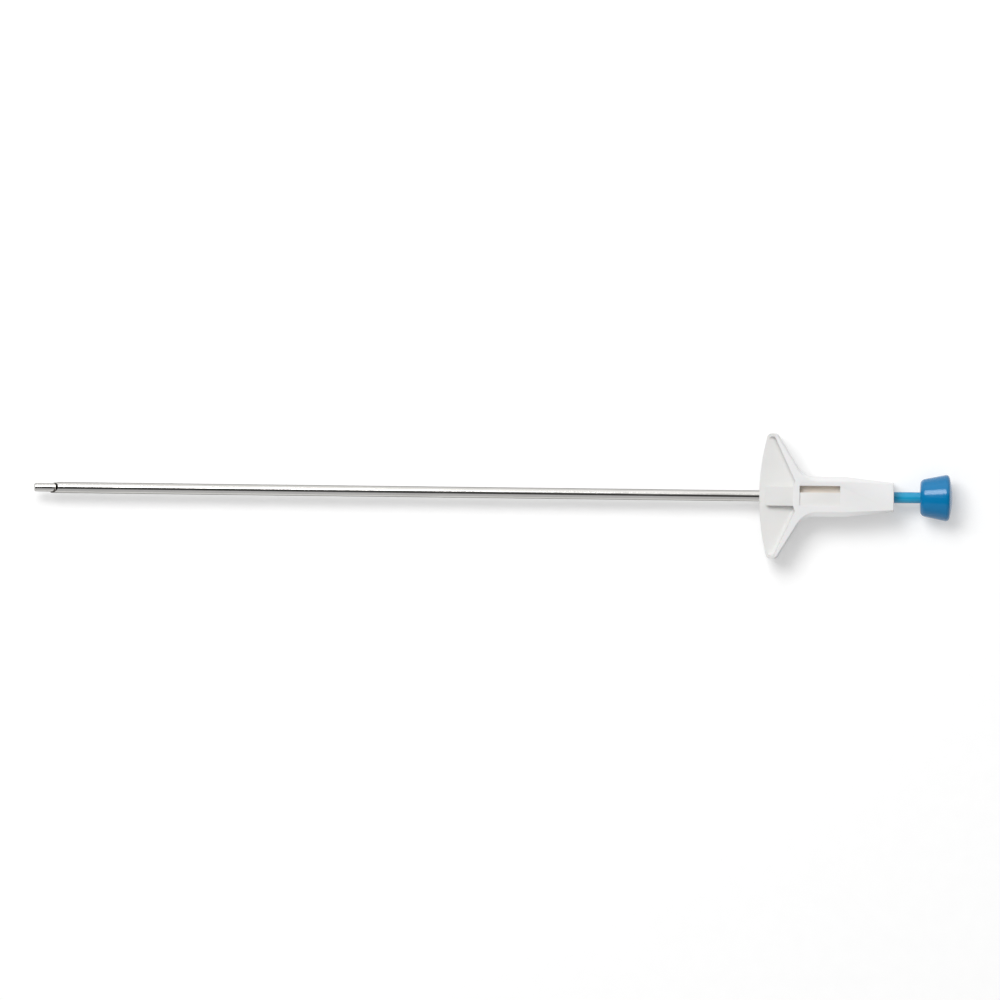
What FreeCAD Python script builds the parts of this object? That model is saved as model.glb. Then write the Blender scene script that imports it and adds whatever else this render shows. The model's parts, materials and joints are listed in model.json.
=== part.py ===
# Trocar site closure device: a spring-loaded blunt stylet with a suture notch, inside a 14 gauge needle.
# Millimetres. The origin is on the needle's axis at the front of the finger flange, +X points to the knob,
# +Y across the flange and +Z out of the face that has the window. The needle points along -X.
import FreeCAD, Part

import math
import os

import Sketcher
from FreeCAD import Rotation, Vector

# Driving dimensions: lengths in millimetres, angles in degrees
SIZES = {
    "needle_diameter": 2.11,
    "needle_bore": 1.70,
    "point_reach": 137.4,
    "bevel_length": 1.9,
    "bevel_roll": 22.0,
    "tail_flare": 0.2,
    "stylet_diameter": 1.62,
    "blunt_overhang": 2.8,
    "blunt_round": 0.35,
    "notch_setback": 4.35,
    "notch_width": 0.75,
    "notch_depth": 0.95,
    "notch_lean": 30.0,
    "notch_corner": 0.22,
    "flange_span": 24.2,
    "flange_radius": 47.2,
    "front_rim": 0.3,
    "tip_rim": 0.6,
    "tip_length": 3.42,
    "rib_angle": 58.5,
    "rib_width": 0.8,
    "hollow_corner": 0.7,
    "front_corner": 0.8,
    "rear_corner": 0.6,
    "root_fillet": 3.9,
    "web_thickness": 3.0,
    "rim_step": 0.05,
    "rim_slope": 1.3,
    "hub_start": 1.2,
    "hub_width": 3.68,
    "hub_end": 6.46,
    "hub_splay": 0.4,
    "hub_bend": 1.12,
    "hub_front_height": 2.8,
    "hub_rear_height": 3.4,
    "hub_corner": 0.3,
    "body_width": 7.74,
    "face_width": 5.88,
    "taper_start": 16.6,
    "rear_width": 5.72,
    "rear_face_width": 5.0,
    "handle_length": 25.4,
    "handle_height": 7.6,
    "land_height": 6.8,
    "front_draft": 0.12,
    "tip_draft": 0.25,
    "rib_draft": 0.35,
    "recess_start": 7.7,
    "recess_length": 7.85,
    "recess_width": 3.81,
    "recess_shift": 0.165,
    "recess_depth": 0.3,
    "slot_width": 1.3,
    "slot_depth": 1.95,
    "bore_start": 7.0,
    "bore_diameter": 3.3,
    "slide_clearance": 0.05,
    "ferrule_length": 0.8,
    "front_spring_length": 6.6,
    "carrier_length": 5.2,
    "carrier_edge": 0.15,
    "stylet_grip": 2.6,
    "rod_grip": 2.4,
    "pin_diameter": 0.7,
    "pin_length": 3.0,
    "key_width": 0.8,
    "key_height": 0.5,
    "key_length": 4.0,
    "key_travel": 5.2,
    "spring_diameter": 2.9,
    "wire_diameter": 0.3,
    "front_turns": 5.0,
    "rear_turns": 4.0,
    "cap_thickness": 0.55,
    "cap_edge": 0.2,
    "spigot_length": 1.2,
    "rod_diameter": 2.17,
    "rod_exposed": 5.15,
    "knob_socket": 2.5,
    "knob_length": 6.23,
    "knob_front_diameter": 6.96,
    "knob_rim_diameter": 8.98,
    "knob_rim_land": 0.6,
    "knob_dome_radius": 15.0,
    "knob_front_round": 1.1,
    "knob_rear_round": 0.7,
}

# Places along X that follow from the driving dimensions
FERRULE_END = "(sizes.bore_start + sizes.ferrule_length)"
CARRIER_START = f"({FERRULE_END} + sizes.front_spring_length)"
CARRIER_END = f"({CARRIER_START} + sizes.carrier_length)"
SPIGOT_START = "(sizes.handle_length - sizes.spigot_length)"
CAP_END = "(sizes.handle_length + sizes.cap_thickness)"
KNOB_START = f"({CAP_END} + sizes.rod_exposed)"
BLUNT_END = "(-sizes.point_reach - sizes.blunt_overhang)"
STYLET_PIN_PLACE = f"({CARRIER_START} + sizes.stylet_grip / 2)"
ROD_PIN_PLACE = f"({CARRIER_END} - sizes.rod_grip / 2)"
CARRIER_RADIUS = "(sizes.bore_diameter / 2 - sizes.slide_clearance)"
HALF_HEIGHT = "(sizes.handle_height / 2)"

# The needle's tail widens like a cone inside the hub, so that it can't be drawn out forward
NEEDLE_RADIUS = "(sizes.needle_diameter / 2)"
TAIL_RADIUS = f"({NEEDLE_RADIUS} + sizes.tail_flare)"
TAIL_RADIUS_AT_BORE = f"({NEEDLE_RADIUS} + sizes.tail_flare * sizes.bore_start / {FERRULE_END})"

doc = FreeCAD.newDocument("trocar_site_closure_device")
sheet = doc.addObject("Spreadsheet::Sheet", "sizes")
for row, (alias, number) in enumerate(SIZES.items(), start=1):
    sheet.set(f"A{row}", alias)
    sheet.set(f"B{row}", str(number))
    sheet.setAlias(f"B{row}", alias)
doc.recompute()


def value(expression):
    """The number that an expression of the sheet's cells gives now."""
    return float(sheet.evalExpression(expression))


def new_body(label):
    body = doc.addObject("PartDesign::Body", label)
    body.Label = label
    return body


def new_sketch(body, name, plane_role, offset=None, roll=None):
    """A sketch on one of the body's origin planes, moved along its normal and rolled about its X axis."""
    sketch = body.newObject("Sketcher::SketchObject", name)
    plane = next(feature for feature in body.Origin.OriginFeatures if feature.Role == plane_role)
    sketch.AttachmentSupport = (plane, [""])
    sketch.MapMode = "FlatFace"
    if offset:
        sketch.setExpression(".AttachmentOffset.Base.z", offset)
    if roll:
        sketch.AttachmentOffset = FreeCAD.Placement(Vector(), Rotation(Vector(1, 0, 0), value(roll)))
        sketch.setExpression(".AttachmentOffset.Rotation.Angle", roll)
    return sketch


def constrain(sketch, kind, *where, to):
    """Adds a dimension that is bound to an expression."""
    index = sketch.addConstraint(Sketcher.Constraint(kind, *where, value(to)))
    sketch.setExpression(f"Constraints[{index}]", to)


def circle(sketch, x, y, radius):
    """A circle whose centre and radius are bound to expressions."""
    centre = Vector(value(x), value(y), 0)
    geometry = sketch.addGeometry(Part.Circle(centre, Vector(0, 0, 1), value(radius)), False)
    constrain(sketch, "DistanceX", -1, 1, geometry, 3, to=x)
    constrain(sketch, "DistanceY", -1, 1, geometry, 3, to=y)
    constrain(sketch, "Radius", geometry, to=radius)


def short_arc(start, end, centre):
    """The shorter arc between two points about a centre, drawn anticlockwise as sketches want it."""
    angles = [math.atan2(point.y - centre.y, point.x - centre.x) for point in (start, end)]
    if (angles[1] - angles[0]) % (2 * math.pi) > math.pi:
        angles.reverse()
    whole = Part.Circle(centre, Vector(0, 0, 1), start.distanceToPoint(centre))
    return Part.ArcOfCircle(whole, *angles)


def trace(sketch, corners, arcs=None, rounds=None):
    """A closed outline through corners given as pairs of expressions.

    arcs gives, for an edge's number, the centre's X and the radius of an arc whose centre is on the X axis.
    A corner at such an arc lies on it and only has its Y bound. rounds gives a corner's fillet radius.
    """
    arcs = arcs or {}
    count = len(corners)
    points = [Vector(value(x), value(y), 0) for x, y in corners]
    first = sketch.GeometryCount
    ends = {}
    for edge in range(count):
        start, end = points[edge], points[(edge + 1) % count]
        if edge in arcs:
            curve = short_arc(start, end, Vector(value(arcs[edge][0]), 0, 0))
        else:
            curve = Part.LineSegment(start, end)
        geometry = sketch.addGeometry(curve, False)
        forward = sketch.getPoint(geometry, 1).distanceToPoint(start) < 1e-6
        ends[edge] = (1, 2) if forward else (2, 1)
    for edge, (centre_x, radius) in arcs.items():
        constrain(sketch, "DistanceX", -1, 1, first + edge, 3, to=centre_x)
        constrain(sketch, "DistanceY", -1, 1, first + edge, 3, to="0")
        constrain(sketch, "Radius", first + edge, to=radius)
    for corner, (x, y) in enumerate(corners):
        before = (corner - 1) % count
        last, here = (first + before, ends[before][1]), (first + corner, ends[corner][0])
        sketch.addConstraint(Sketcher.Constraint("Coincident", *last, *here))
        if corner not in arcs and before not in arcs:
            constrain(sketch, "DistanceX", -1, 1, *here, to=x)
        constrain(sketch, "DistanceY", -1, 1, *(last if corner in arcs else here), to=y)
    for corner, radius in (rounds or {}).items():
        size = value(radius)
        before = (corner - 1) % count
        near = []
        for edge, other in ((before, before), (corner, (corner + 1) % count)):
            toward = (points[other] - points[corner]).normalize() * size
            curve = sketch.Geometry[first + edge]
            near.append(curve.value(curve.parameter(points[corner] + toward)))
        added = sketch.GeometryCount
        sketch.fillet(first + before, first + corner, *near, size, True, True)
        constrain(sketch, "Radius", added, to=radius)


def add_feature(body, kind, name, adds, **settings):
    """Adds a feature and checks that it changes the volume. A setting given as text is an expression."""
    before = body.Tip.Shape.Volume if body.Tip else 0.0
    feature = body.newObject(f"PartDesign::{kind}", name)
    for setting, content in settings.items():
        if isinstance(content, str):
            feature.setExpression(setting, content)
        else:
            setattr(feature, setting, content)
    body.Tip = feature
    doc.recompute()
    change = feature.Shape.Volume - before
    if change * (1 if adds else -1) <= 0:
        raise RuntimeError(f"{feature.Name} of {body.Label} changes nothing")
    return feature


def pad(body, sketch, length, reverse=False, both=False):
    return add_feature(body, "Pad", f"{sketch.Name}_pad", True, Profile=sketch, Length=length,
                       Reversed=reverse, Midplane=both)


def pocket(body, sketch, length, reverse=False, both=False):
    return add_feature(body, "Pocket", f"{sketch.Name}_pocket", False, Profile=sketch, Length=length,
                       Reversed=reverse, Midplane=both)


def turn(body, sketch, cuts=False):
    """Revolves a sketch about the needle's axis, as solid or as a cut."""
    kind = "Groove" if cuts else "Revolution"
    return add_feature(body, kind, f"{sketch.Name}_{kind.lower()}", not cuts, Profile=sketch,
                       ReferenceAxis=(sketch, ["H_Axis"]), Angle=360.0)


def mirror(body, feature, plane_role):
    plane = next(item for item in body.Origin.OriginFeatures if item.Role == plane_role)
    return add_feature(body, "Mirrored", f"{feature.Name}_mirrored", False, Originals=[feature],
                       MirrorPlane=(plane, [""]))


def round_edges(body, radius, picks, adds=False):
    """A fillet on the edges of the body's tip that the test picks. It adds material to inner corners."""
    names = [f"Edge{number}" for number, edge in enumerate(body.Tip.Shape.Edges, start=1) if picks(edge)]
    return add_feature(body, "Fillet", f"{body.Tip.Name}_fillet", adds, Base=(body.Tip, names), Radius=radius)


def cross_hole(body, name, place, diameter):
    """A hole through the needle's axis along Y."""
    sketch = new_sketch(body, name, "XZ_Plane")
    circle(sketch, place, "0", f"({diameter}) / 2")
    return pocket(body, sketch, "sizes.body_width", both=True)


# Steel: the needle, its ferrule and the stylet


def make_needle():
    body = new_body("needle")
    tube = new_sketch(body, "needle_wall", "XZ_Plane")
    bore = "sizes.needle_bore / 2"
    trace(tube, [
        ("-sizes.point_reach", bore),
        ("0", bore),
        (FERRULE_END, f"{bore} + sizes.tail_flare"),
        (FERRULE_END, TAIL_RADIUS),
        ("0", NEEDLE_RADIUS),
        ("-sizes.point_reach", NEEDLE_RADIUS),
    ])
    turn(body, tube)
    # The grind runs past the wall on both sides, so that it leaves no sliver
    past = "sizes.bevel_length / 4"
    rise = "sizes.needle_diameter / 4"
    ahead = f"(-sizes.point_reach - {past})"
    above = f"({NEEDLE_RADIUS} + {rise})"
    grind = new_sketch(body, "needle_grind", "XZ_Plane", roll="sizes.bevel_roll")
    trace(grind, [
        (ahead, f"(-{NEEDLE_RADIUS} - {rise})"),
        (f"(-sizes.point_reach + sizes.bevel_length + {past})", above),
        (ahead, above),
    ])
    pocket(body, grind, "sizes.needle_diameter * 2", both=True)
    return body


def make_ferrule():
    body = new_body("needle_ferrule")
    ring = new_sketch(body, "ferrule_ring", "XZ_Plane")
    trace(ring, [
        ("sizes.bore_start", TAIL_RADIUS_AT_BORE),
        (FERRULE_END, TAIL_RADIUS),
        (FERRULE_END, CARRIER_RADIUS),
        ("sizes.bore_start", CARRIER_RADIUS),
    ])
    turn(body, ring)
    return body


def make_stylet():
    body = new_body("stylet")
    tail = f"({CARRIER_START} + sizes.stylet_grip)"
    radius = "sizes.stylet_diameter / 2"
    rod = new_sketch(body, "stylet_rod", "XZ_Plane")
    trace(rod, [
        (BLUNT_END, "0"),
        (tail, "0"),
        (tail, radius),
        (BLUNT_END, radius),
    ], rounds={3: "sizes.blunt_round"})
    turn(body, rod)
    # The notch leans back, so that its front lip hooks the suture when the stylet is drawn in
    centre = f"({BLUNT_END} + sizes.notch_setback)"
    lean = "(sizes.notch_depth * tan(sizes.notch_lean))"
    floor = f"({radius} - sizes.notch_depth)"
    mouth = f"({radius} + sizes.notch_depth)"
    notch = new_sketch(body, "suture_notch", "XZ_Plane", roll="sizes.bevel_roll")
    trace(notch, [
        (f"{centre} - sizes.notch_width / 2 - {lean}", floor),
        (f"{centre} + sizes.notch_width / 2 - {lean}", floor),
        (f"{centre} + sizes.notch_width / 2 + {lean}", mouth),
        (f"{centre} - sizes.notch_width / 2 + {lean}", mouth),
    ], rounds={0: "sizes.notch_corner", 1: "sizes.notch_corner"})
    pocket(body, notch, "sizes.stylet_diameter * 2", both=True)
    cross_hole(body, "stylet_pin_hole", STYLET_PIN_PLACE, "sizes.pin_diameter")
    return body


# The white moulding


def handle_outline(body, name, height, front, tip, rib, half, rear_half):
    """The handle's outline at one height: how far each side is drawn in by the draft, and its half widths."""
    tip_y = f"(sizes.flange_span / 2 - {tip})"
    radius = f"(sizes.flange_radius - {front})"
    front_x = f"(sizes.flange_radius - sqrt({radius} ^ 2 - {tip_y} ^ 2))"
    rib_line = f"sizes.tip_length - {rib} / sin(sizes.rib_angle)"
    tip_x = f"({rib_line} + {tip} / tan(sizes.rib_angle))"
    root_x = f"({rib_line} + (sizes.flange_span / 2 - {half}) / tan(sizes.rib_angle))"
    sketch = new_sketch(body, name, "XY_Plane", offset=height)
    upper = [
        ("sizes.handle_length", rear_half),
        ("sizes.taper_start", half),
        (root_x, half),
        (tip_x, tip_y),
        (front_x, tip_y),
    ]
    lower = [(x, f"(-{y})") for x, y in reversed(upper)]
    root = f"(sizes.root_fillet + sizes.body_width / 2 - {half})"
    trace(sketch, upper + lower, arcs={4: ("sizes.flange_radius", radius)}, rounds={
        2: root,
        3: "sizes.rear_corner",
        4: "sizes.front_corner",
        5: "sizes.front_corner",
        6: "sizes.rear_corner",
        7: root,
    })
    return sketch


def make_handle():
    body = new_body("handle")
    # Drafted block: the widest outline on the land at the parting plane, the narrower ones at both faces
    wide = ("0", "0", "0", "(sizes.body_width / 2)", "(sizes.rear_width / 2)")
    drawn_in = ("sizes.front_draft", "sizes.tip_draft", "sizes.rib_draft",
                "(sizes.face_width / 2)", "(sizes.rear_face_width / 2)")
    land = "sizes.land_height / 2"
    sections = [
        handle_outline(body, "back_outline", f"-{HALF_HEIGHT}", *drawn_in),
        handle_outline(body, "back_land", f"-({land})", *wide),
        handle_outline(body, "front_land", land, *wide),
        handle_outline(body, "front_outline", HALF_HEIGHT, *drawn_in),
    ]
    add_feature(body, "AdditiveLoft", "drafted_block", True,
                Profile=sections[0], Sections=sections[1:], Ruled=True)
    cut_wings(body)
    cut_window(body)
    cut_bores(body)
    return body


def cut_wings(body):
    """Hollows the wings from both faces, open to the front, and pads the hub that holds the needle."""
    half_web = "(sizes.web_thickness / 2)"
    bend_y = "(sizes.hub_width / 2 + sizes.hub_bend)"
    tip_y = "(sizes.flange_span / 2 - sizes.tip_rim)"
    radius = "(sizes.flange_radius - sizes.front_rim)"
    front_x = f"(sizes.flange_radius - sqrt({radius} ^ 2 - {tip_y} ^ 2))"
    rib_line = "sizes.tip_length - sizes.rib_width / sin(sizes.rib_angle)"
    rib_tip_x = f"({rib_line} + sizes.tip_rim / tan(sizes.rib_angle))"
    hollow = new_sketch(body, "wing_hollow", "XY_Plane", offset=half_web)
    upper = [
        ("sizes.hub_end", "(sizes.hub_width / 2)"),
        ("(sizes.hub_end + sizes.hub_splay)", bend_y),
        (rib_tip_x, tip_y),
        (front_x, tip_y),
    ]
    lower = [(x, f"(-{y})") for x, y in reversed(upper)]
    trace(hollow, upper + lower, arcs={3: ("sizes.flange_radius", radius)},
          rounds={2: "sizes.hollow_corner", 5: "sizes.hollow_corner"})
    mirror(body, pocket(body, hollow, "sizes.handle_height", reverse=True), "XY_Plane")
    floor, bend, longest = value(half_web), value(bend_y) - 1e-6, value("(sizes.flange_span / 2)")

    def along_wall(edge):
        """Whether an edge of the floor runs along a rib or a tip, and not along the front or the hub."""
        on_floor = all(abs(abs(vertex.Z) - floor) < 1e-6 and abs(vertex.Y) > bend for vertex in edge.Vertexes)
        return on_floor and edge.Length < longest

    round_edges(body, "sizes.hollow_corner", along_wall, adds=True)
    # Nothing stands above the floor in front, and the tips rise behind that
    lowered = new_sketch(body, "lowered_front", "XZ_Plane")
    above = f"({HALF_HEIGHT} * 2)"
    slope_start = f"({front_x} + sizes.rim_step)"
    slope_end = f"({slope_start} + sizes.rim_slope)"
    trace(lowered, [
        ("-sizes.hub_start", half_web),
        (slope_start, half_web),
        (slope_end, HALF_HEIGHT),
        (slope_end, above),
        ("-sizes.hub_start", above),
    ])
    mirror(body, pocket(body, lowered, "sizes.flange_span", both=True), "XY_Plane")
    hub = new_sketch(body, "hub", "XZ_Plane")
    trace(hub, [
        ("sizes.hub_start", "-sizes.hub_front_height"),
        ("sizes.hub_end", "-sizes.hub_rear_height"),
        ("sizes.hub_end", "sizes.hub_rear_height"),
        ("sizes.hub_start", "sizes.hub_front_height"),
    ])
    pad(body, hub, "sizes.hub_width", both=True)
    start = value("sizes.hub_start")

    def at_hub_front(edge):
        """Whether an edge is one of the upright corners at the hub's front."""
        in_front = all(abs(vertex.X - start) < 1e-6 for vertex in edge.Vertexes)
        return in_front and abs(edge.tangentAt(edge.FirstParameter).z) > 0.9

    round_edges(body, "sizes.hub_corner", at_hub_front)


def cut_window(body):
    """The shallow recess in the front face and the deep slot along one side of it."""
    end = "(sizes.recess_start + sizes.recess_length)"
    high = "(sizes.recess_shift + sizes.recess_width / 2)"
    low = "(sizes.recess_shift - sizes.recess_width / 2)"
    recess = new_sketch(body, "recess", "XY_Plane", offset=HALF_HEIGHT)
    trace(recess, [
        ("sizes.recess_start", low),
        (end, low),
        (end, high),
        ("sizes.recess_start", high),
    ])
    pocket(body, recess, "sizes.recess_depth")
    slot_low = f"({high} - sizes.slot_width)"
    slot = new_sketch(body, "slot", "XY_Plane", offset=HALF_HEIGHT)
    trace(slot, [
        ("sizes.recess_start", slot_low),
        (end, slot_low),
        (end, high),
        ("sizes.recess_start", high),
    ])
    pocket(body, slot, "sizes.slot_depth")


def cut_bores(body):
    """The needle's seat through the hub, the carrier's bore behind it and the keyway under that bore."""
    bore = "sizes.bore_diameter / 2"
    ahead, behind = "-sizes.hub_start", CAP_END
    bores = new_sketch(body, "needle_seat_and_bore", "XZ_Plane")
    trace(bores, [
        (ahead, "0"),
        (behind, "0"),
        (behind, bore),
        ("sizes.bore_start", bore),
        ("sizes.bore_start", TAIL_RADIUS_AT_BORE),
        (ahead, f"({NEEDLE_RADIUS} + sizes.tail_flare * ({ahead}) / {FERRULE_END})"),
    ])
    turn(body, bores, cuts=True)
    half = "(sizes.key_width / 2 + sizes.slide_clearance)"
    start = f"({CARRIER_START} - sizes.key_travel)"
    keyway = new_sketch(body, "keyway", "XY_Plane")
    trace(keyway, [(start, f"-{half}"), (behind, f"-{half}"), (behind, half), (start, half)])
    pocket(body, keyway, "sizes.bore_diameter / 2 + sizes.key_height")


def make_end_cap():
    body = new_body("end_cap")
    wide, narrow = "(sizes.rear_width / 2)", "(sizes.rear_face_width / 2)"
    land = "(sizes.land_height / 2)"
    plate = new_sketch(body, "cap_plate", "YZ_Plane", offset="sizes.handle_length")
    quarter = [(wide, land), (narrow, HALF_HEIGHT)]
    upper = quarter + [(f"(-{y})", z) for y, z in reversed(quarter)]
    trace(plate, upper + [(y, f"(-{z})") for y, z in reversed(upper)])
    pad(body, plate, "sizes.cap_thickness")
    end = value(CAP_END)

    def at_back(edge):
        return all(abs(vertex.X - end) < 1e-6 for vertex in edge.Vertexes)

    round_edges(body, "sizes.cap_edge", at_back)
    spigot = new_sketch(body, "cap_spigot", "YZ_Plane", offset=SPIGOT_START)
    circle(spigot, "0", "0", "sizes.bore_diameter / 2")
    pad(body, spigot, "sizes.spigot_length")
    bore = new_sketch(body, "rod_bore", "YZ_Plane", offset=CAP_END)
    circle(bore, "0", "0", "sizes.rod_diameter / 2 + sizes.slide_clearance")
    pocket(body, bore, "sizes.spigot_length + sizes.cap_thickness")
    return body


# The sliding parts behind the stylet


def make_carrier():
    body = new_body("stylet_carrier")
    barrel = new_sketch(body, "carrier_barrel", "XZ_Plane")
    trace(barrel, [
        (CARRIER_START, "0"),
        (CARRIER_END, "0"),
        (CARRIER_END, CARRIER_RADIUS),
        (CARRIER_START, CARRIER_RADIUS),
    ])
    turn(body, barrel)
    half = "(sizes.key_width / 2)"
    middle = f"({CARRIER_START} + sizes.carrier_length / 2)"
    key = new_sketch(body, "carrier_key", "XY_Plane", offset=f"-({CARRIER_RADIUS} - sizes.key_height)")
    start, end = f"({middle} - sizes.key_length / 2)", f"({middle} + sizes.key_length / 2)"
    trace(key, [(start, f"-{half}"), (end, f"-{half}"), (end, half), (start, half)])
    pad(body, key, "sizes.key_height * 2", reverse=True)
    socket = new_sketch(body, "carrier_sockets", "XZ_Plane")
    stylet, rod = "sizes.stylet_diameter / 2", "sizes.rod_diameter / 2"
    stylet_end = f"({CARRIER_START} + sizes.stylet_grip)"
    rod_start = f"({CARRIER_END} - sizes.rod_grip)"
    trace(socket, [
        (f"{CARRIER_START} - sizes.carrier_edge", "0"),
        (f"{CARRIER_START} - sizes.carrier_edge", stylet),
        (stylet_end, stylet),
        (stylet_end, "0"),
    ])
    turn(body, socket, cuts=True)
    rod_socket = new_sketch(body, "carrier_rod_socket", "XZ_Plane")
    trace(rod_socket, [
        (rod_start, "0"),
        (rod_start, rod),
        (f"{CARRIER_END} + sizes.carrier_edge", rod),
        (f"{CARRIER_END} + sizes.carrier_edge", "0"),
    ])
    turn(body, rod_socket, cuts=True)
    cross_hole(body, "carrier_stylet_hole", STYLET_PIN_PLACE, "sizes.pin_diameter")
    cross_hole(body, "carrier_rod_hole", ROD_PIN_PLACE, "sizes.pin_diameter")
    return body


def make_pins():
    """Two identical pins along Y, one through the stylet and one through the rod."""
    pins = []
    for name, place in (("stylet_pin", STYLET_PIN_PLACE), ("rod_pin", ROD_PIN_PLACE)):
        pin = doc.addObject("Part::Cylinder", name)
        pin.setExpression("Radius", "sizes.pin_diameter / 2")
        pin.setExpression("Height", "sizes.pin_length")
        pin.Placement.Rotation = Rotation(Vector(1, 0, 0), 90)
        pin.setExpression(".Placement.Base.x", place)
        pin.setExpression(".Placement.Base.y", "sizes.pin_length / 2")
        pins.append(pin)
    group = doc.addObject("Part::Compound", "carrier_pins")
    group.Links = pins
    doc.recompute()
    return group


def make_spring(label, start, end, turns):
    """A coil spring about the needle's axis between two places along X."""
    body = new_body(label)
    wire = new_sketch(body, f"{label}_wire", "XY_Plane")
    radius = "sizes.wire_diameter / 2"
    # Four sides are enough for a wire this thin
    trace(wire, [
        (f"({start} + {radius} + {radius} * cos({angle}))",
         f"(sizes.spring_diameter / 2 - {radius} + {radius} * sin({angle}))")
        for angle in range(0, 360, 90)
    ])
    add_feature(body, "AdditiveHelix", f"{label}_coil", True, Profile=wire, ReferenceAxis=(wire, ["H_Axis"]),
                Mode=2, Height=f"{end} - {start} - sizes.wire_diameter", Turns=turns)
    return body


def make_rod():
    body = new_body("plunger_rod")
    start, end = f"({CARRIER_END} - sizes.rod_grip)", f"({KNOB_START} + sizes.knob_socket)"
    radius = "sizes.rod_diameter / 2"
    rod = new_sketch(body, "rod_bar", "XZ_Plane")
    trace(rod, [(start, "0"), (end, "0"), (end, radius), (start, radius)])
    turn(body, rod)
    cross_hole(body, "rod_pin_hole", ROD_PIN_PLACE, "sizes.pin_diameter")
    return body


def make_knob():
    body = new_body("knob")
    front, rim = "(sizes.knob_front_diameter / 2)", "(sizes.knob_rim_diameter / 2)"
    rod = "(sizes.rod_diameter / 2)"
    socket_end = f"({KNOB_START} + sizes.knob_socket)"
    apex = f"({KNOB_START} + sizes.knob_length)"
    profile = new_sketch(body, "knob_profile", "XZ_Plane")
    dome_centre = f"({apex} - sizes.knob_dome_radius)"
    dome_x = f"({dome_centre} + sqrt(sizes.knob_dome_radius ^ 2 - {rim} ^ 2))"
    rim_x = f"({dome_x} - sizes.knob_rim_land)"
    trace(profile, [
        (KNOB_START, rod),
        (socket_end, rod),
        (socket_end, "0"),
        (apex, "0"),
        (dome_x, rim),
        (rim_x, rim),
        (KNOB_START, front),
    ], arcs={3: (dome_centre, "sizes.knob_dome_radius")},
          rounds={4: "sizes.knob_rear_round", 6: "sizes.knob_front_round"})
    turn(body, profile)
    return body


parts = [
    make_needle(),
    make_ferrule(),
    make_stylet(),
    make_handle(),
    make_end_cap(),
    make_carrier(),
    make_pins(),
    make_spring("front_spring", FERRULE_END, CARRIER_START, "sizes.front_turns"),
    make_spring("rear_spring", CARRIER_END, SPIGOT_START, "sizes.rear_turns"),
    make_rod(),
    make_knob(),
]

doc.recompute()
for item in doc.Objects:
    if {"Invalid", "Error"} & set(item.State):
        raise RuntimeError(f"{item.Label} failed: {item.State}")
os.makedirs("parts", exist_ok=True)
for part in parts:
    if part.Shape.isNull() or not part.Shape.isValid():
        raise RuntimeError(f"{part.Label} has no valid shape")
    part.Shape.exportStep(f"parts/{part.Label}.step")
    print(part.Label, len(part.Shape.Solids), round(part.Shape.Volume, 3))
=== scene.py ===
import json
import math

import bmesh
import bpy
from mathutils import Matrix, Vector


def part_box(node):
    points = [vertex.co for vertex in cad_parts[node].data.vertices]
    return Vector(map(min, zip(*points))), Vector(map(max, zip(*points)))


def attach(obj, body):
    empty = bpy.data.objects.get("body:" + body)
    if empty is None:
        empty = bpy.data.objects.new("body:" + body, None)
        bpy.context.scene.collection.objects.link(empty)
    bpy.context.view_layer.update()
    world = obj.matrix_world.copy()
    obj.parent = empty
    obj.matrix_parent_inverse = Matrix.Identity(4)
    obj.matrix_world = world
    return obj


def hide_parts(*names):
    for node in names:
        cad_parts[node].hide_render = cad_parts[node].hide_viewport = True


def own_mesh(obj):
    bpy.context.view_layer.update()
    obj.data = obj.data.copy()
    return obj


MM = 0.001

# The photograph: its scale at the needle's axis, and the pixel where the flange's front meets that axis
IMAGE_SIZE = 1000
MM_PER_PIXEL = 0.1934
ORIGIN_X = 759.3
ORIGIN_Y = 495.9
ROLL = math.radians(0.69)
CAMERA_HEIGHT = 3000 * MM
CAMERA_REACH = 10.0
SENSOR = 36.0

# The floor lies under the knob, the lowest piece
FLOOR_CLEARANCE = 0.02 * MM
FLOOR_SIZE = 4.0

# Both lamps are rectangles that face the handle from this distance
LAMP_DISTANCE = 0.80
LAMP_AIM = Vector((-0.02, 0, 0))
LAMP_ASPECT = 0.8

# The window lamp stands to the upper left of the photograph
KEY_DIRECTION = Vector((-0.32, 0.45, 1.0))
KEY_SIZE = 0.44
KEY_POWER = 4.6

# A card that only gloss shows stands a little lower than the lamp
CARD_DIRECTION = Vector((-0.38, 0.66, 1.0))
CARD_SIZE = 0.38
CARD_POWER = 3.4

# The diffuse light of the sky is SKY_BASE plus the dot product of its direction with SKY_TILT
SKY_BASE = 0.19
SKY_TILT = (-0.02, 0.09, 0.41)

# The sky that gloss shows, from the horizon on the -Y side at 0 to the one on the +Y side at 1
GLOSS_SKY = [
    (0.0, (0.68, 0.68, 0.69)),
    (0.22, (0.64, 0.64, 0.65)),
    (0.29, (0.045, 0.045, 0.045)),
    (0.59, (0.045, 0.045, 0.045)),
    (0.70, (1.0, 1.0, 1.0)),
    (0.86, (1.0, 1.0, 1.0)),
    (0.92, (1.5, 1.5, 1.5)),
    (0.975, (1.5, 1.5, 1.5)),
    (1.0, (1.0, 1.0, 1.0)),
]

# The floor as the camera sees it is its own grey, with a faint mottle, plus an even glow
FLOOR_GREY = 0.68
FLOOR_MOTTLE = 0.015
FLOOR_GLOW = 0.33

# The floor as it lights the object
FLOOR_BOUNCE = (0.8, 0.8, 0.8, 1)

# Most of a noise texture lies between these two values
NOISE_LOW = 0.3
NOISE_HIGH = 0.7
NOISE_ROUGHNESS = 0.55

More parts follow.
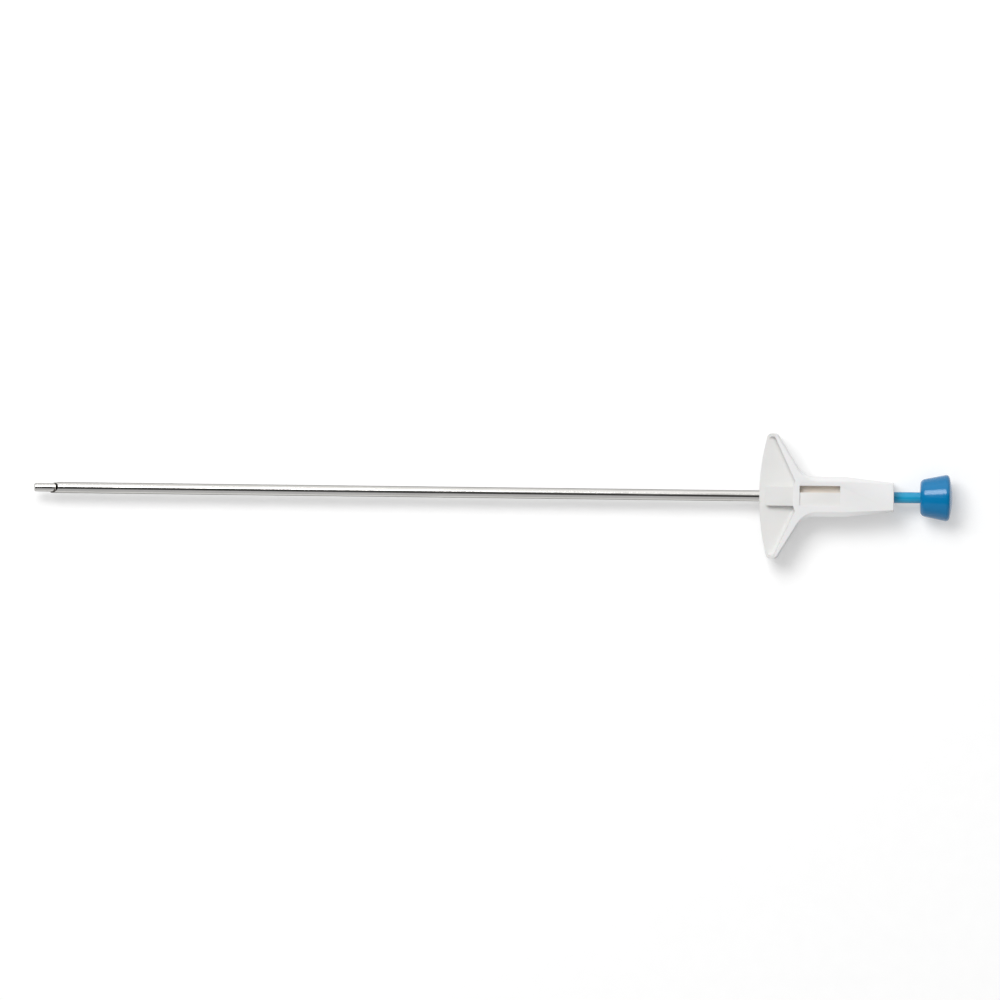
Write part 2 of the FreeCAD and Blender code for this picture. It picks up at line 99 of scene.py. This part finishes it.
# Textures: noise cells per metre along X, Y and Z
PLASTIC_FLOW = (70, 160, 160)
PLASTIC_GRAIN = (9000, 9000, 9000)
GLOSS_FLOW = (260, 180, 180)
GLOSS_PEEL = (900, 900, 900)
STEEL_LINES = (60, 12000, 12000)
STEEL_CLOUD = (120, 500, 500)
PAPER_GRAIN = (400, 400, 400)

# Refraction of the moulded and of the polished plastic, and the moulded one's inner scatter
MOULDED_IOR = 1.49
GLOSS_IOR = 1.5
SUBSURFACE = 0.06
SUBSURFACE_DEPTH = 0.5 * MM

# Gloss at right angles, where 0.5 is a common plastic: the knob's is weaker than the rod's
ROD_SPECULAR = 0.5
KNOB_SPECULAR = 0.35

# Steel darkens to this tint at a grazing angle
STEEL_EDGE = (0.0, 0.0, 0.0, 1)

# The mottle of each material: its light and its shaded tone, and its least and greatest roughness
WHITE_TONES = ((0.80, 0.80, 0.803), (0.77, 0.77, 0.77))
WHITE_ROUGHNESS = (0.39, 0.46)
CAP_ROUGHNESS = (0.37, 0.44)
CARRIER_TONES = ((0.72, 0.68, 0.60), (0.68, 0.64, 0.56))
CARRIER_ROUGHNESS = (0.33, 0.40)
ROD_TONES = ((0.008, 0.325, 0.56), (0.005, 0.30, 0.53))
ROD_ROUGHNESS = (0.16, 0.21)
KNOB_TONES = ((0.0, 0.185, 0.425), (0.0, 0.165, 0.385))
KNOB_ROUGHNESS = (0.12, 0.17)
NEEDLE_TONES = ((0.64, 0.63, 0.61), (0.59, 0.58, 0.56))
NEEDLE_ROUGHNESS = (0.12, 0.18)
STYLET_TONES = ((0.66, 0.65, 0.63), (0.61, 0.60, 0.58))
STYLET_ROUGHNESS = (0.10, 0.16)
SPRING_TONES = ((0.62, 0.61, 0.60), (0.54, 0.53, 0.52))
SPRING_ROUGHNESS = (0.22, 0.28)

# Painted shade on the moulding: darker in the hollow between the ribs and on the window's recessed panel, and
# a warmer, darker painted shade in the slot
HOLLOW_PAINTED_SHADE = (0.915, 0.91, 0.895)
SLOT_PAINTED_SHADE = (0.97, 0.90, 0.82)

# Painted shade: the faces of the suture notch are painted dark, and they lie inside the stylet's wall
NOTCH_PAINTED_SHADE = (0.20, 0.19, 0.18)
NOTCH_FROM = -136.9 * MM
NOTCH_TO = -134.8 * MM
NOTCH_RADIUS = 0.72 * MM

# The handle's sizes that bound the faces of the hollow, the panel and the slot
FLANGE_RADIUS = 47.2 * MM
HALF_SPAN = 12.1 * MM
RIB_LINE = 2.48 * MM
RIB_ANGLE = math.radians(58.5)
HOLLOW_END = 7.3 * MM
HOLLOW_TOP = 3.38 * MM
PANEL_LOW = Vector((7.6, -1.75, 2.0)) * MM
PANEL_HIGH = Vector((15.7, 0.70, 3.70)) * MM
SLOT_LOW = Vector((7.6, 0.70, 0.0)) * MM
SLOT_HIGH = Vector((15.7, 2.20, 3.40)) * MM
FACE_MARGIN = 0.06 * MM

# Rounding of the handle's edges, after vertices nearer than MERGE_DISTANCE and flat faces are joined
EDGE_ROUND = 0.16 * MM
EDGE_SEGMENTS = 3
EDGE_ANGLE = math.radians(18)
MERGE_DISTANCE = 0.002 * MM
FLAT_ANGLE = math.radians(0.5)

# Edges sharper than this stay sharp in the shading
SMOOTH_ANGLE = math.radians(30)

# Each spring's fixed end, and the share of its length that is left at the slide's longer limit
SPRINGS = [
    ("front_spring", 7.8 * MM, 0.24),
    ("rear_spring", 24.2 * MM, 0.03),
]

# A Mix node's sockets: its two colours and the mixed one
MIX_A = 6
MIX_B = 7
MIX_RESULT = 2

WHITE = (1, 1, 1, 1)


# Node helpers


def new_material(name):
    material = bpy.data.materials.new(name)
    material.use_nodes = True
    material.node_tree.nodes.clear()
    return material, material.node_tree


def add_node(tree, kind, inputs=None, **settings):
    """A node with its settings and input values; an input given as a socket is linked."""
    node = tree.nodes.new(kind)
    for name, content in settings.items():
        setattr(node, name, content)
    for name, content in (inputs or {}).items():
        if isinstance(content, bpy.types.NodeSocket):
            tree.links.new(content, node.inputs[name])
        else:
            node.inputs[name].default_value = content
    return node


def ramp(tree, factor, stops):
    """A colour ramp through (place, colour) stops."""
    node = add_node(tree, "ShaderNodeValToRGB", {"Fac": factor})
    points = node.color_ramp.elements
    while len(points) < len(stops):
        points.new(0.5)
    for point, (place, colour) in zip(points, stops):
        point.position = place
        point.color = (*colour, 1.0)
    return node.outputs["Color"]


def mottle(tree, factor, light, shade):
    """The colours from shade to light over a noise texture."""
    return ramp(tree, factor, [(NOISE_LOW, shade), (NOISE_HIGH, light)])


def noise(tree, cells, detail=4.0):
    """A noise texture over object coordinates, with its cells per metre along each axis."""
    place = add_node(tree, "ShaderNodeTexCoord").outputs["Object"]
    scaled = add_node(tree, "ShaderNodeMapping", {"Vector": place, "Scale": cells})
    texture = add_node(tree, "ShaderNodeTexNoise", {
        "Vector": scaled.outputs["Vector"],
        "Scale": 1.0,
        "Detail": detail,
        "Roughness": NOISE_ROUGHNESS,
    })
    return texture.outputs["Fac"]


def span(tree, factor, low, high):
    """Maps a noise texture to a range."""
    return add_node(tree, "ShaderNodeMapRange", {
        "Value": factor,
        "From Min": NOISE_LOW,
        "From Max": NOISE_HIGH,
        "To Min": low,
        "To Max": high,
    }).outputs["Result"]


def bump(tree, height, strength, distance):
    return add_node(tree, "ShaderNodeBump", {
        "Height": height,
        "Strength": strength,
        "Distance": distance,
    }).outputs["Normal"]


def toned(tree, colour, tones):
    """The colour times each painted-shade tint on the faces that its mesh attribute marks."""
    for mask, tint in tones:
        factor = add_node(tree, "ShaderNodeAttribute", attribute_name=mask).outputs["Fac"]
        mix = add_node(tree, "ShaderNodeMix", {
            "Factor": factor,
            MIX_A: colour,
            MIX_B: (*tint, 1),
        }, data_type="RGBA", blend_type="MULTIPLY")
        colour = mix.outputs[MIX_RESULT]
    return colour


def finish_material(material, tree, shader):
    output = add_node(tree, "ShaderNodeOutputMaterial")
    tree.links.new(shader.outputs[0], output.inputs["Surface"])
    return material


# Materials


def moulded_plastic(name, tones, roughness, marks=()):
    """Satin moulded plastic: a faint flow mottle, a fine spark-eroded grain and the painted shade of marked
    faces.
    """
    material, tree = new_material(name)
    flow = noise(tree, PLASTIC_FLOW)
    grain = noise(tree, PLASTIC_GRAIN, detail=2.0)
    shader = add_node(tree, "ShaderNodeBsdfPrincipled", {
        "Base Color": toned(tree, mottle(tree, flow, *tones), marks),
        "Roughness": span(tree, flow, *roughness),
        "Normal": bump(tree, grain, strength=0.12, distance=0.01 * MM),
        "IOR": MOULDED_IOR,
        "Subsurface Weight": SUBSURFACE,
        "Subsurface Scale": SUBSURFACE_DEPTH,
    })
    return finish_material(material, tree, shader)


def gloss_plastic(name, tones, roughness, specular):
    """Polished coloured plastic with a slight orange peel."""
    material, tree = new_material(name)
    flow = noise(tree, GLOSS_FLOW)
    peel = noise(tree, GLOSS_PEEL, detail=1.0)
    shader = add_node(tree, "ShaderNodeBsdfPrincipled", {
        "Base Color": mottle(tree, flow, *tones),
        "Roughness": span(tree, flow, *roughness),
        "Normal": bump(tree, peel, strength=0.08, distance=0.02 * MM),
        "IOR": GLOSS_IOR,
        "Specular IOR Level": specular,
    })
    return finish_material(material, tree, shader)


def drawn_steel(name, tones, roughness, marks=()):
    """Drawn stainless steel with fine lines along the needle's axis and the painted shade of marked faces."""
    material, tree = new_material(name)
    lines = noise(tree, STEEL_LINES, detail=3.0)
    cloud = noise(tree, STEEL_CLOUD)
    shader = add_node(tree, "ShaderNodeBsdfPrincipled", {
        "Base Color": toned(tree, mottle(tree, cloud, *tones), marks),
        "Metallic": 1.0,
        "Specular Tint": STEEL_EDGE,
        "Roughness": span(tree, cloud, *roughness),
        "Normal": bump(tree, lines, strength=0.10, distance=0.004 * MM),
    })
    return finish_material(material, tree, shader)


def make_materials():
    # Painted shade on marked faces: the handle's hollow, panel and slot, and the stylet's notch
    handle_marks = [("hollow", HOLLOW_PAINTED_SHADE), ("slot", SLOT_PAINTED_SHADE)]
    stylet_marks = [("notch", NOTCH_PAINTED_SHADE)]
    return {
        "white_moulding": moulded_plastic("white_moulding", WHITE_TONES, WHITE_ROUGHNESS, handle_marks),
        "cap_moulding": moulded_plastic("cap_moulding", WHITE_TONES, CAP_ROUGHNESS),
        "carrier_plastic": moulded_plastic("carrier_plastic", CARRIER_TONES, CARRIER_ROUGHNESS),
        "rod_blue": gloss_plastic("rod_blue", ROD_TONES, ROD_ROUGHNESS, ROD_SPECULAR),
        "knob_blue": gloss_plastic("knob_blue", KNOB_TONES, KNOB_ROUGHNESS, KNOB_SPECULAR),
        "needle_steel": drawn_steel("needle_steel", NEEDLE_TONES, NEEDLE_ROUGHNESS),
        "stylet_steel": drawn_steel("stylet_steel", STYLET_TONES, STYLET_ROUGHNESS, stylet_marks),
        "spring_steel": drawn_steel("spring_steel", SPRING_TONES, SPRING_ROUGHNESS),
    }


def paint(obj, material):
    obj.data.materials.clear()
    obj.data.materials.append(material)


# Pieces


def add_object(name, data):
    obj = bpy.data.objects.new(name, data)
    bpy.context.scene.collection.objects.link(obj)
    return obj


def smooth_by_angle(mesh):
    mesh.shade_smooth()
    mesh.set_sharp_from_angle(angle=SMOOTH_ANGLE)


def rounded_copy(source, name):
    """A copy of a CAD node whose flat faces are merged and whose sharp edges are rounded."""
    copy = add_object(name, source.data.copy())
    shape = bmesh.new()
    shape.from_mesh(copy.data)
    bmesh.ops.remove_doubles(shape, verts=shape.verts, dist=MERGE_DISTANCE)
    bmesh.ops.dissolve_limit(shape, angle_limit=FLAT_ANGLE, verts=shape.verts, edges=shape.edges)
    shape.to_mesh(copy.data)
    shape.free()
    bevel = copy.modifiers.new("rounded_edges", "BEVEL")
    bevel.width = EDGE_ROUND
    bevel.segments = EDGE_SEGMENTS
    bevel.limit_method = "ANGLE"
    bevel.angle_limit = EDGE_ANGLE
    bevel.harden_normals = True
    bevel.miter_outer = "MITER_ARC"
    smooth_by_angle(copy.data)
    return copy


def mark_faces(mesh, name, holds):
    """A mesh attribute that is 1 on the faces whose centre passes a test."""
    marks = mesh.attributes.new(name, "FLOAT", "FACE")
    for face in mesh.polygons:
        marks.data[face.index].value = float(holds(face.center))


def in_box(place, low, high):
    return all(least < at < most for least, at, most in zip(low, place, high))


def in_hollow(place):
    """True for the web, the ribs' inner walls, the hub and the sloped front, on both sides of the handle."""
    rib_x = RIB_LINE + (HALF_SPAN - abs(place.y)) / math.tan(RIB_ANGLE)
    inside_ribs = place.x < min(rib_x + FACE_MARGIN, HOLLOW_END)
    inside_arc = math.hypot(place.x - FLANGE_RADIUS, place.y) < FLANGE_RADIUS - FACE_MARGIN
    return abs(place.z) < HOLLOW_TOP and inside_ribs and inside_arc


# Faces that get the hollow's painted shade: those in the hollow and on the recessed panel
def on_painted_shade_face(place):
    return in_hollow(place) or in_box(place, PANEL_LOW, PANEL_HIGH)


# The slot's faces get a warm painted shade
def in_slot(place):
    return in_box(place, SLOT_LOW, SLOT_HIGH)


def in_notch(place):
    return NOTCH_FROM < place.x < NOTCH_TO and math.hypot(place.y, place.z) < NOTCH_RADIUS


def dress_handle(frame, materials):
    handle = rounded_copy(frame["nodes"]["handle"], "handle_shell")
    # Painted shade: darker on the hollow and panel faces, warmer and darker in the slot
    mark_faces(handle.data, "hollow", on_painted_shade_face)
    mark_faces(handle.data, "slot", in_slot)
    paint(handle, materials["white_moulding"])
    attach(handle, "handle_assembly")
    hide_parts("handle")


def mirror_in_y(mesh):
    if "custom_normal" in mesh.attributes:
        mesh.attributes.remove(mesh.attributes["custom_normal"])
    for vertex in mesh.vertices:
        vertex.co.y = -vertex.co.y
    mesh.flip_normals()
    smooth_by_angle(mesh)


def stand_in(frame, materials, node, body, mirrored=False):
    """A copy of a CAD node that stands for it, with its point rolled the other way where mirrored."""
    slot = next(part["material_slot"] for part in frame["record"]["subparts"] if part["node"] == node)
    copy = add_object(node + "_shell", frame["nodes"][node].data.copy())
    if mirrored:
        mirror_in_y(copy.data)
    paint(copy, materials[slot])
    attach(copy, body)
    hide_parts(node)
    return copy


def dress_point(frame, materials):
    """The bevel and the notch as the photograph shows them, with the needle's lower wall ahead."""
    stand_in(frame, materials, "needle", "handle_assembly", mirrored=True)
    stylet = stand_in(frame, materials, "stylet", "plunger_assembly", mirrored=True)
    # The notch's faces get a dark painted shade
    mark_faces(stylet.data, "notch", in_notch)


def dress_springs(frame, materials):
    """Each spring gets a copy with a mesh of its own."""
    for node, fixed_end, keep in SPRINGS:
        spring = stand_in(frame, materials, node, "handle_assembly")
        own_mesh(spring)


# Set


def larger(tree, first, second):
    node = add_node(tree, "ShaderNodeMath", {0: first, 1: second}, operation="MAXIMUM")
    return node.outputs[0]


def lit_floor(name):
    """A pale floor that the camera and reflections see as white, with the object's shadow on it."""
    material, tree = new_material(name)
    path = add_node(tree, "ShaderNodeLightPath").outputs
    seen = larger(tree, path["Is Camera Ray"], path["Is Glossy Ray"])
    seen = larger(tree, seen, path["Is Transmission Ray"])
    light = (FLOOR_GREY + FLOOR_MOTTLE,) * 3
    shade = (FLOOR_GREY,) * 3
    diffuse = add_node(tree, "ShaderNodeBsdfDiffuse", {
        "Color": mottle(tree, noise(tree, PAPER_GRAIN), light, shade),
    })
    glow = add_node(tree, "ShaderNodeEmission", {"Color": WHITE, "Strength": FLOOR_GLOW})
    both = add_node(tree, "ShaderNodeAddShader", {0: diffuse.outputs[0], 1: glow.outputs[0]})
    plain = add_node(tree, "ShaderNodeBsdfDiffuse", {"Color": FLOOR_BOUNCE})
    shader = add_node(tree, "ShaderNodeMixShader", {"Fac": seen, 1: plain.outputs[0], 2: both.outputs[0]})
    return finish_material(material, tree, shader)


def make_floor(height):
    mesh = bpy.data.meshes.new("floor")
    half = FLOOR_SIZE / 2
    corners = [(-half, -half, height), (half, -half, height), (half, half, height), (-half, half, height)]
    mesh.from_pydata(corners, [], [(0, 1, 2, 3)])
    floor = add_object("floor", mesh)
    paint(floor, lit_floor("floor"))


def chosen(tree, ray, otherwise, colour):
    """The colour for one kind of ray, and another for the rest."""
    mix = add_node(tree, "ShaderNodeMix", {
        "Factor": ray,
        MIX_A: otherwise,
        MIX_B: colour,
    }, data_type="RGBA")
    return mix.outputs[MIX_RESULT]


def make_world():
    """A sky that lights from above, is white to the camera and has a dark ceiling where gloss shows it."""
    world = bpy.data.worlds.new("studio")
    bpy.context.scene.world = world
    world.use_nodes = True
    tree = world.node_tree
    tree.nodes.clear()
    direction = add_node(tree, "ShaderNodeTexCoord").outputs["Generated"]
    y = add_node(tree, "ShaderNodeSeparateXYZ", {"Vector": direction}).outputs["Y"]
    side = add_node(tree, "ShaderNodeMapRange", {"Value": y, "From Min": -1.0, "From Max": 1.0})
    gloss = ramp(tree, side.outputs["Result"], GLOSS_SKY)
    tilt = add_node(tree, "ShaderNodeVectorMath", {0: direction, 1: SKY_TILT}, operation="DOT_PRODUCT")
    level = add_node(tree, "ShaderNodeMath", {0: tilt.outputs["Value"], 1: SKY_BASE}, use_clamp=True)
    path = add_node(tree, "ShaderNodeLightPath").outputs
    plain = chosen(tree, path["Is Camera Ray"], level.outputs[0], WHITE)
    colour = chosen(tree, path["Is Glossy Ray"], plain, gloss)
    background = add_node(tree, "ShaderNodeBackground", {"Color": colour, "Strength": 1.0})
    output = add_node(tree, "ShaderNodeOutputWorld")
    tree.links.new(background.outputs[0], output.inputs["Surface"])


def make_lamp(name, direction, size, power):
    light = bpy.data.lights.new(name, "AREA")
    light.shape = "RECTANGLE"
    light.size = size
    light.size_y = size * LAMP_ASPECT
    light.energy = power
    lamp = add_object(name, light)
    lamp.location = LAMP_AIM + direction.normalized() * LAMP_DISTANCE
    lamp.rotation_mode = "QUATERNION"
    lamp.rotation_quaternion = direction.to_track_quat("Z", "Y")
    return lamp


def make_lamps():
    """The key lights the object and the card only shows in its gloss."""
    key = make_lamp("key", KEY_DIRECTION, KEY_SIZE, KEY_POWER)
    key.visible_glossy = False
    card = make_lamp("card", CARD_DIRECTION, CARD_SIZE, CARD_POWER)
    card.visible_diffuse = False


def make_camera():
    """Straight above, as in the photograph, with its frame's scale, place and roll."""
    data = bpy.data.cameras.new("camera")
    camera = add_object("camera", data)
    scale = MM_PER_PIXEL * MM
    data.sensor_width = SENSOR
    data.lens = SENSOR * CAMERA_HEIGHT / (IMAGE_SIZE * scale)
    data.clip_end = CAMERA_REACH
    right = Vector((math.cos(ROLL), math.sin(ROLL), 0))
    up = Vector((-math.sin(ROLL), math.cos(ROLL), 0))
    centre = right * (IMAGE_SIZE / 2 - ORIGIN_X) * scale + up * (ORIGIN_Y - IMAGE_SIZE / 2) * scale
    camera.location = centre + Vector((0, 0, CAMERA_HEIGHT))
    camera.rotation_euler = (0, 0, ROLL)
    bpy.context.scene.camera = camera


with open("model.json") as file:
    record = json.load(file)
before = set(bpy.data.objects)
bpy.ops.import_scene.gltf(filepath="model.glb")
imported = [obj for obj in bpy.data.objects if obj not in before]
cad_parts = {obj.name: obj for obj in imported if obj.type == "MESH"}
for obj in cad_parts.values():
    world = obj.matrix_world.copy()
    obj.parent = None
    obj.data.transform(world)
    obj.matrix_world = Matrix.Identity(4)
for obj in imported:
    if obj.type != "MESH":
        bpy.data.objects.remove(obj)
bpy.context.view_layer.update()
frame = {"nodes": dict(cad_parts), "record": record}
bpy.context.scene.view_settings.view_transform = "Standard"
materials = make_materials()
for part in frame["record"]["subparts"]:
    solid = frame["nodes"][part["node"]]
    paint(solid, materials[part["material_slot"]])
    smooth_by_angle(solid.data)
dress_handle(frame, materials)
dress_point(frame, materials)
dress_springs(frame, materials)
make_floor(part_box("knob")[0].z - FLOOR_CLEARANCE)
make_world()
make_lamps()
make_camera()
